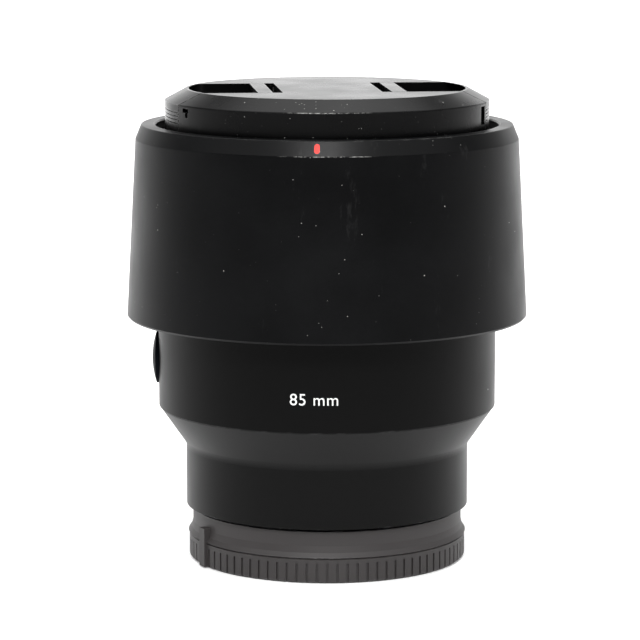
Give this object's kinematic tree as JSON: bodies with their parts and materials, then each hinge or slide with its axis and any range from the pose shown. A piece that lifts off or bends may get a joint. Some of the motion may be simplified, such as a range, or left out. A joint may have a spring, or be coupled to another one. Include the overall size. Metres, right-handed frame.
{
  "type": "prime camera lens",
  "caption": "Short telephoto prime lens with reversed hood, pinch front cap, ribbed rear cap, focus ring, side button, iris and focusing group.",
  "frame": {"origin": "centre of the standing face of the rear cap, on the lens axis", "axes": "+Z along the lens axis towards the front; -Y towards the index marks; +X to the right of a person facing the marks"},
  "size_m": [0.0871, 0.0872, 0.1028],
  "materials": {
    "cap_plastic": "moulded black, satin face",
    "hood_plastic": "moulded black, fine matte texture",
    "hood_felt": "black flocking",
    "red_mark": "filled paint",
    "white_mark": "filled paint",
    "barrel_finish": "fine satin black",
    "focus_ring_finish": "ribbed satin black",
    "control_plastic": "moulded satin black",
    "rear_cap_plastic": "moulded dark grey, satin",
    "mount_metal": "turned and plated, brushed",
    "gold_contact": "gold plated",
    "inner_plastic": "black, glass filled",
    "circuit_board": "solder mask",
    "steel_part": "plain",
    "coil_copper": "enamelled winding",
    "iris_black": "matte black coating",
    "coated_glass": "polished and coated"
  },
  "bodies": {
    "lens_body": {"button_switch": "circuit_board", "contact_block": "inner_plastic", "contact_pins": "gold_contact", "focus_ring_bearing": "inner_plastic", "focus_sensor": "inner_plastic", "front_cell": "inner_plastic", "front_retainer": "inner_plastic", "front_ring": "barrel_finish", "glass_1": "coated_glass", "glass_2": "coated_glass", "glass_3": "coated_glass", "glass_7": "coated_glass", "glass_8": "coated_glass", "glass_9": "coated_glass", "guide_rods": "steel_part", "inner_barrel": "inner_plastic", "iris_base": "inner_plastic", "iris_cover": "inner_plastic", "iris_motor": "steel_part", "magnet_yokes": "steel_part", "main_barrel": "barrel_finish", "main_board": "circuit_board", "mode_switch_plate": "barrel_finish", "mount_index_dot": "white_mark", "mount_ring": "mount_metal", "mount_screws": "mount_metal", "name_ring": "barrel_finish", "rear_baffle": "inner_plastic", "rear_barrel": "barrel_finish", "rear_cell": "inner_plastic", "rear_retainer": "inner_plastic"},
    "focus_ring": {"focus_ring": "focus_ring_finish", "focus_encoder_comb": "inner_plastic"},
    "hold_button": {"focus_hold_button": "control_plastic"},
    "mode_switch": {"mode_switch_knob": "control_plastic"},
    "iris_drive_ring": {"iris_ring": "inner_plastic"},
    "iris_drive_pinion": {"iris_pinion": "inner_plastic"},
    "focus_group": {"focus_cell": "inner_plastic", "focus_coils": "coil_copper", "glass_4": "coated_glass", "glass_5": "coated_glass", "glass_6": "coated_glass"},
    "hood_carrier": {"hood_lining": "hood_felt"},
    "hood": {"hood_body": "hood_plastic", "hood_index_mark": "red_mark"},
    "front_cap": {"front_cap_body": "cap_plastic", "front_cap_back": "cap_plastic", "front_cap_springs": "steel_part"},
    "cap_latch_left": {"front_cap_latch_left": "cap_plastic"},
    "cap_latch_right": {"front_cap_latch_right": "cap_plastic"},
    "rear_cap": {"rear_cap": "rear_cap_plastic"},
    "iris_blade_1": {"iris_blade_1": "iris_black"},
    "iris_blade_2": {"iris_blade_2": "iris_black"},
    "iris_blade_3": {"iris_blade_3": "iris_black"},
    "iris_blade_4": {"iris_blade_4": "iris_black"},
    "iris_blade_5": {"iris_blade_5": "iris_black"},
    "iris_blade_6": {"iris_blade_6": "iris_black"},
    "iris_blade_7": {"iris_blade_7": "iris_black"},
    "iris_blade_8": {"iris_blade_8": "iris_black"},
    "iris_blade_9": {"iris_blade_9": "iris_black"}
  },
  "joints": [
    {"name": "front_cap_lift", "type": "slide", "parent": "lens_body", "child": "front_cap", "axis": [0, 0, 1], "range_m": [0, 0.03]},
    {"name": "cap_latch_left_pinch", "type": "slide", "parent": "front_cap", "child": "cap_latch_left", "axis": [0.9954, 0.0958, 0], "range_m": [0, 0.0021], "stiffness_N_per_m": 300, "springref_m": -0.004},
    {"name": "cap_latch_right_pinch", "type": "slide", "parent": "front_cap", "child": "cap_latch_right", "axis": [-0.9954, -0.0958, 0], "range_m": [0, 0.0021], "stiffness_N_per_m": 300, "springref_m": -0.004},
    {"name": "hood_lift", "type": "slide", "parent": "lens_body", "child": "hood_carrier", "axis": [0, 0, 1], "range_m": [0, 0.06]},
    {"name": "hood_turn", "type": "hinge", "parent": "hood_carrier", "child": "hood", "pos_m": [0, 0, 0.0885], "axis": [0, 0, 1], "range_deg": [-60, 0]},
    {"name": "focus_ring_turn", "type": "hinge", "parent": "lens_body", "child": "focus_ring", "pos_m": [0, 0, 0.07], "axis": [0, 0, 1], "continuous": true},
    {"name": "hold_button_press", "type": "slide", "parent": "lens_body", "child": "hold_button", "axis": [0.9994, -0.0349, 0], "range_m": [0, 0.0007], "stiffness_N_per_m": 500, "springref_m": -0.002},
    {"name": "mode_switch_slide", "type": "slide", "parent": "lens_body", "child": "mode_switch", "axis": [0, 0, 1], "range_m": [0, 0.0032]},
    {"name": "iris_ring_turn", "type": "hinge", "parent": "lens_body", "child": "iris_drive_ring", "pos_m": [0, 0, 0.0605], "axis": [0, 0, 1], "range_deg": [0, 15]},
    {"name": "iris_blade_1_turn", "type": "hinge", "parent": "lens_body", "child": "iris_blade_1", "pos_m": [0.0303, 0, 0.0585], "axis": [0, 0, 1], "range_deg": [0, 27.5]},
    {"name": "iris_blade_2_turn", "type": "hinge", "parent": "lens_body", "child": "iris_blade_2", "pos_m": [0.02321, 0.01948, 0.0585], "axis": [0, 0, 1], "range_deg": [0, 27.5]},
    {"name": "iris_blade_3_turn", "type": "hinge", "parent": "lens_body", "child": "iris_blade_3", "pos_m": [0.00526, 0.02984, 0.0585], "axis": [0, 0, 1], "range_deg": [0, 27.5]},
    {"name": "iris_blade_4_turn", "type": "hinge", "parent": "lens_body", "child": "iris_blade_4", "pos_m": [-0.01515, 0.02624, 0.0585], "axis": [0, 0, 1], "range_deg": [0, 27.5]},
    {"name": "iris_blade_5_turn", "type": "hinge", "parent": "lens_body", "child": "iris_blade_5", "pos_m": [-0.02847, 0.01036, 0.0585], "axis": [0, 0, 1], "range_deg": [0, 27.5]},
    {"name": "iris_blade_6_turn", "type": "hinge", "parent": "lens_body", "child": "iris_blade_6", "pos_m": [-0.02847, -0.01036, 0.0585], "axis": [0, 0, 1], "range_deg": [0, 27.5]},
    {"name": "iris_blade_7_turn", "type": "hinge", "parent": "lens_body", "child": "iris_blade_7", "pos_m": [-0.01515, -0.02624, 0.0585], "axis": [0, 0, 1], "range_deg": [0, 27.5]},
    {"name": "iris_blade_8_turn", "type": "hinge", "parent": "lens_body", "child": "iris_blade_8", "pos_m": [0.00526, -0.02984, 0.0585], "axis": [0, 0, 1], "range_deg": [0, 27.5]},
    {"name": "iris_blade_9_turn", "type": "hinge", "parent": "lens_body", "child": "iris_blade_9", "pos_m": [0.02321, -0.01948, 0.0585], "axis": [0, 0, 1], "range_deg": [0, 27.5]},
    {"name": "iris_pinion_turn", "type": "hinge", "parent": "lens_body", "child": "iris_drive_pinion", "pos_m": [-0.02415, 0, 0.0605], "axis": [0, 0, 1], "range_deg": [0, 187.5]},
    {"name": "focus_group_travel", "type": "slide", "parent": "lens_body", "child": "focus_group", "axis": [0, 0, 1], "range_m": [0, 0.0045]},
    {"name": "rear_cap_turn", "type": "hinge", "parent": "lens_body", "child": "rear_cap", "pos_m": [0, 0, 0.0098], "axis": [0, 0, 1], "range_deg": [0, 60]}
  ],
  "couplings": [
    {"joint": "iris_blade_1_turn", "follows": "iris_ring_turn", "ratio": 1.8333},
    {"joint": "iris_blade_2_turn", "follows": "iris_ring_turn", "ratio": 1.8333},
    {"joint": "iris_blade_3_turn", "follows": "iris_ring_turn", "ratio": 1.8333},
    {"joint": "iris_blade_4_turn", "follows": "iris_ring_turn", "ratio": 1.8333},
    {"joint": "iris_blade_5_turn", "follows": "iris_ring_turn", "ratio": 1.8333},
    {"joint": "iris_blade_6_turn", "follows": "iris_ring_turn", "ratio": 1.8333},
    {"joint": "iris_blade_7_turn", "follows": "iris_ring_turn", "ratio": 1.8333},
    {"joint": "iris_blade_8_turn", "follows": "iris_ring_turn", "ratio": 1.8333},
    {"joint": "iris_blade_9_turn", "follows": "iris_ring_turn", "ratio": 1.8333},
    {"joint": "iris_pinion_turn", "follows": "iris_ring_turn", "ratio": 12.5}
  ]
}
